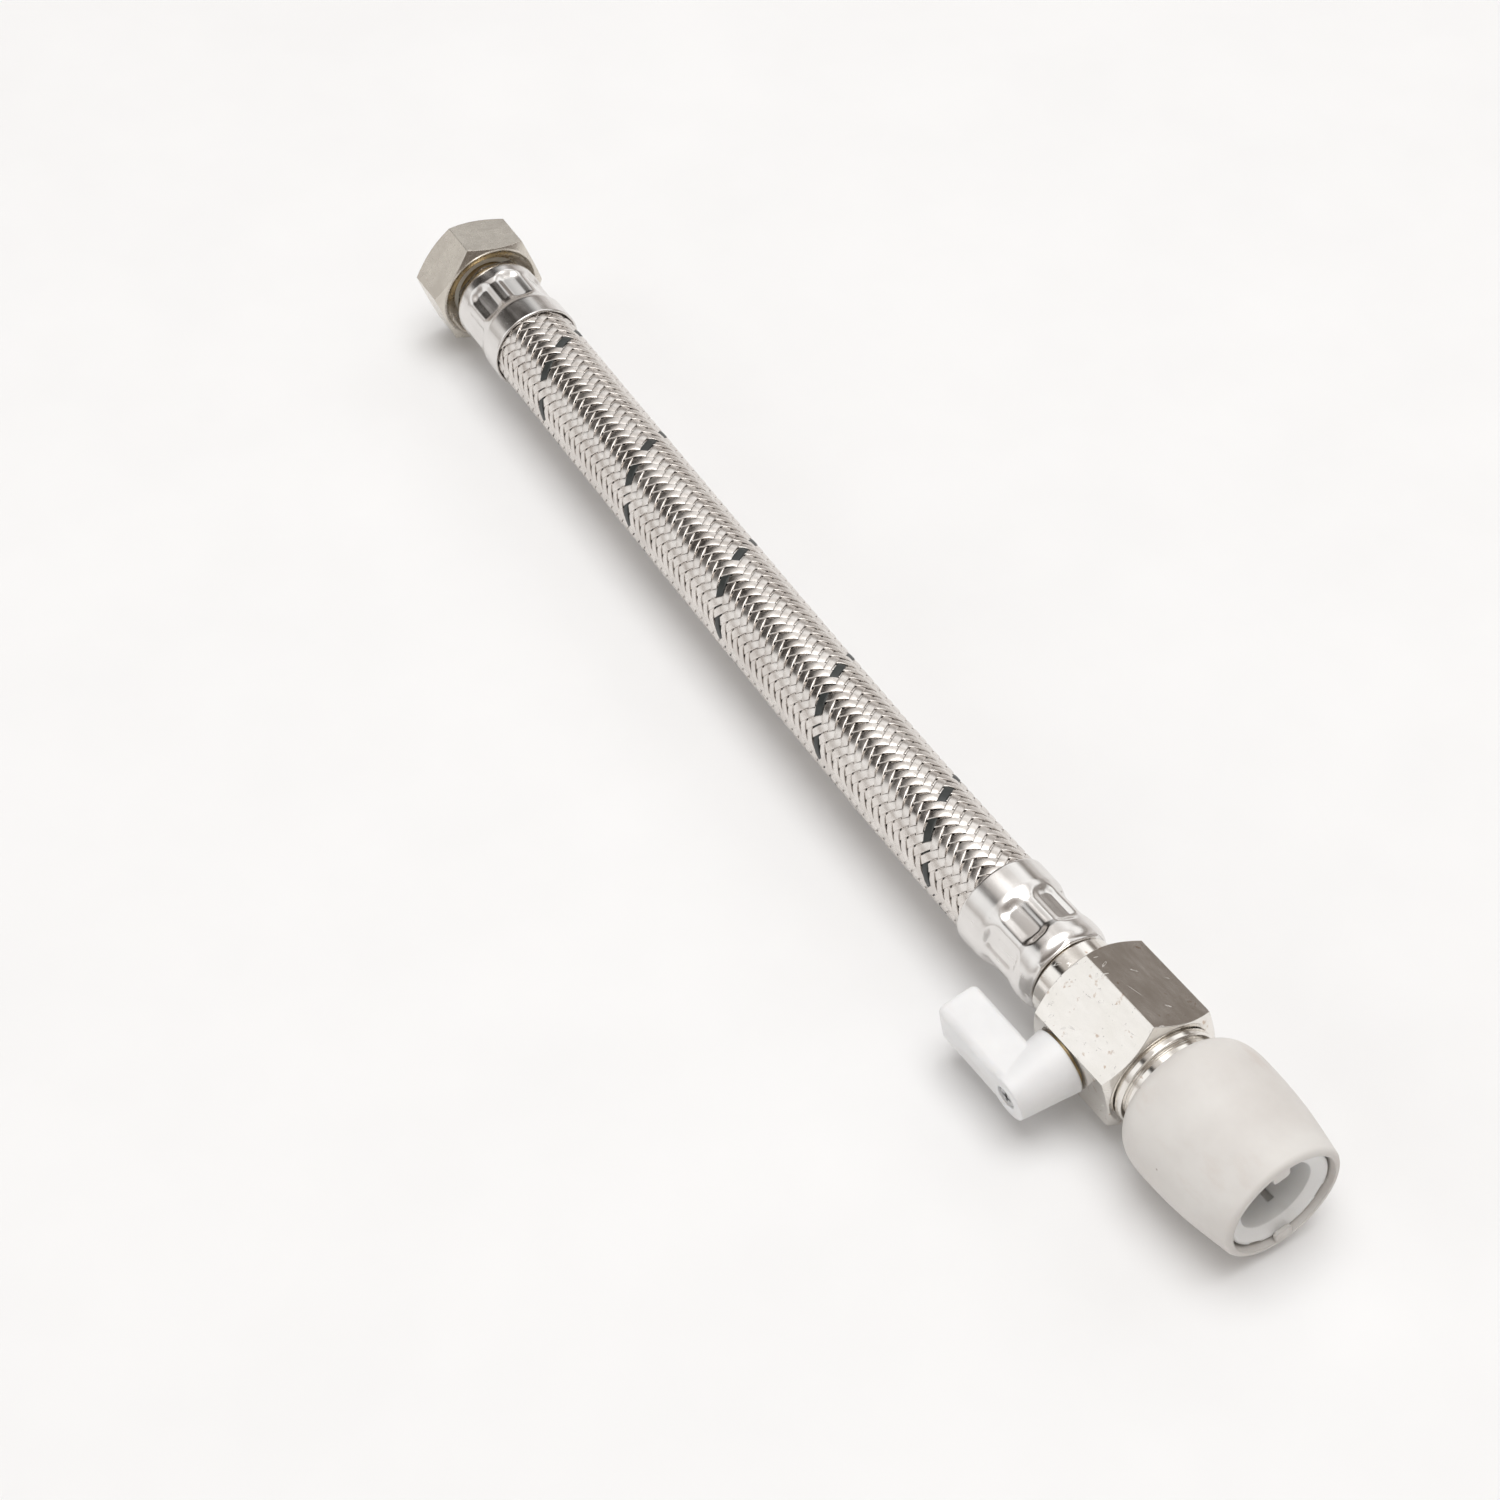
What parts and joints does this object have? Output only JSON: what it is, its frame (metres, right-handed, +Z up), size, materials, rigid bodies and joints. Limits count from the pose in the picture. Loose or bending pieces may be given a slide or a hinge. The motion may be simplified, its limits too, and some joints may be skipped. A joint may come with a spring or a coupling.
{
  "type": "braided supply line",
  "caption": "Flexible braided stainless tap connector with a swivel nut at one end and a lever isolating valve with a push-fit pipe socket at the other.",
  "frame": {"origin": "on the flow axis at the pipe stop, where a pipe pushed into the socket comes to rest", "axes": "+X out of the push-fit socket along the flow axis, +Z up, the hose leaves towards -X"},
  "size_m": [0.2969, 0.0494, 0.0298],
  "materials": {
    "nickel_nut": "satin nickel plate on brass",
    "nickel_body": "satin nickel plate on brass, lightly scratched",
    "stainless": "polished stainless",
    "braid_wire": "bright stainless wire",
    "braid_tracer": "black tracer strand",
    "liner_rubber": "matte",
    "seal_rubber": "matte",
    "sealing_fibre": "pressed fibre",
    "brass": "machined",
    "ptfe": "smooth",
    "chromed_ball": "polished",
    "nylon": "smooth",
    "lever_nylon": "moulded, slightly translucent",
    "screw_steel": "plain",
    "collet_plastic": "moulded",
    "cap_plastic": "moulded, matt"
  },
  "bodies": {
    "root": {"sealing_washer": "sealing_fibre", "nut_end_tail": "brass", "nut_end_ferrule": "stainless", "hose_liner": "liner_rubber", "hose_braid": "braid_wire", "valve_end_ferrule": "stainless", "valve_end_tail": "brass", "tail_o_ring": "seal_rubber", "valve_body": "nickel_body", "seat_hose_side": "ptfe", "seat_socket_side": "ptfe", "stem_washer": "ptfe", "stem_o_rings": "seal_rubber", "gland": "brass", "socket_body": "nickel_body", "body_o_ring": "seal_rubber", "pipe_o_ring": "seal_rubber"},
    "nut_carrier": {"slip_ring": "nylon"},
    "nut": {"swivel_nut": "nickel_nut"},
    "lever": {"lever": "lever_nylon", "lever_screw": "screw_steel", "stem": "brass", "ball": "chromed_ball"},
    "cap_carrier": {"spacer_ring": "nylon"},
    "cap": {"cap": "cap_plastic"},
    "collet": {"collet": "collet_plastic", "collet_teeth": "screw_steel"}
  },
  "joints": [
    {"name": "nut_slide", "type": "slide", "parent": "root", "child": "nut_carrier", "axis": [0.998, -0.063, 0], "range_m": [0, 0.001]},
    {"name": "nut_spin", "type": "hinge", "parent": "nut_carrier", "child": "nut", "pos_m": [-0.2495, 0.0105, 0], "axis": [0.998, -0.063, 0], "continuous": true},
    {"name": "lever_turn", "type": "hinge", "parent": "root", "child": "lever", "pos_m": [-0.014, 0, 0], "axis": [0, 0.9842, 0.1771], "range_deg": [0, 90]},
    {"name": "cap_feed", "type": "slide", "parent": "root", "child": "cap_carrier", "axis": [-1, 0, 0], "range_m": [0, 0.0005]},
    {"name": "cap_turn", "type": "hinge", "parent": "cap_carrier", "child": "cap", "pos_m": [0.02, 0, 0], "axis": [-1, 0, 0], "range_deg": [0, 90]},
    {"name": "collet_press", "type": "slide", "parent": "cap", "child": "collet", "axis": [-1, 0, 0], "range_m": [0, 0.0016]}
  ],
  "couplings": [
    {"joint": "cap_feed", "follows": "cap_turn", "m_per_rad": 0.000318}
  ]
}
